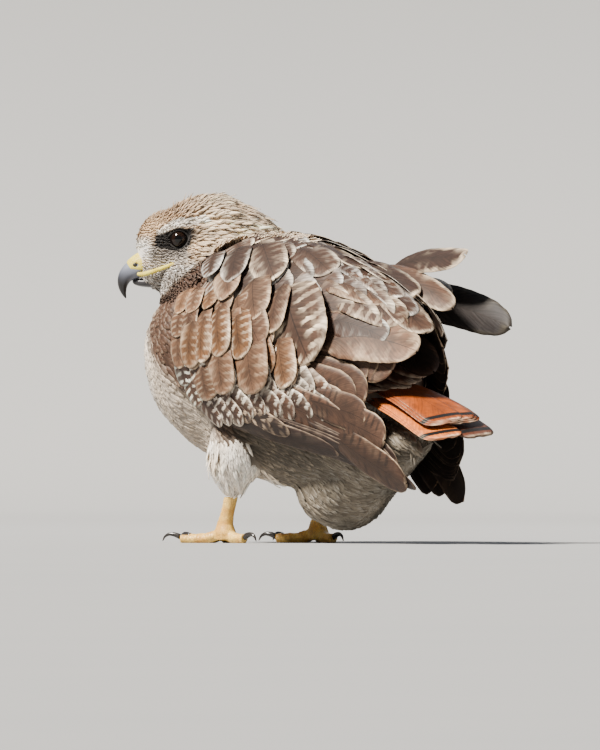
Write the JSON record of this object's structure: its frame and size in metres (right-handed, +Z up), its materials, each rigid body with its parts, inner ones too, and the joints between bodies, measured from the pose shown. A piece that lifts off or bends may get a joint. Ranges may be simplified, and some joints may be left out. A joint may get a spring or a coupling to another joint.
{
  "type": "red-tailed hawk",
  "caption": "Life-size still model of a perched red-tailed hawk: folded layered wings, fanned tail, hooked bill, head turned left, feathered thighs, taloned feet standing flat.",
  "frame": {"origin": "bottom centre of the bounding box, on the floor between and a little behind the feet", "axes": "+Z up, the breast faces -X and the tail points to +X, the bird's left side is at -Y"},
  "size_m": [0.3666, 0.1464, 0.2475],
  "materials": {
    "belly_feather": "soft cream and pale buff body feathers with a few rufous-brown spots",
    "brown_feather": "warm brown feathers with cream edges and pale bars",
    "rufous_feather": "brick-red tail feathers with a thin black band and a cream tip",
    "head_feather": "tan-brown streaked short feathers, whitish forehead and throat",
    "bill_horn": "blue-grey horn darkening to the tip, with a waxy yellow cere",
    "eye": "glossy near-black brown eye",
    "leg_scale": "yellow scaled skin",
    "claw": "glossy black horn"
  },
  "bodies": {
    "root": {"torso": "belly_feather", "mantle": "brown_feather", "wing_left": "brown_feather", "wing_right": "brown_feather", "tail": "rufous_feather", "undertail": "belly_feather", "neck": "head_feather", "head": "head_feather", "beak_upper": "bill_horn", "beak_lower": "bill_horn", "eye_left": "eye", "eye_right": "eye", "thigh_left": "belly_feather", "thigh_right": "belly_feather", "tarsus_left": "leg_scale", "tarsus_right": "leg_scale", "foot_left": "leg_scale", "foot_right": "leg_scale", "claw_left_1": "claw", "claw_left_2": "claw", "claw_left_3": "claw", "claw_left_4": "claw", "claw_right_1": "claw", "claw_right_2": "claw", "claw_right_3": "claw", "claw_right_4": "claw"}
  },
  "joints": []
}
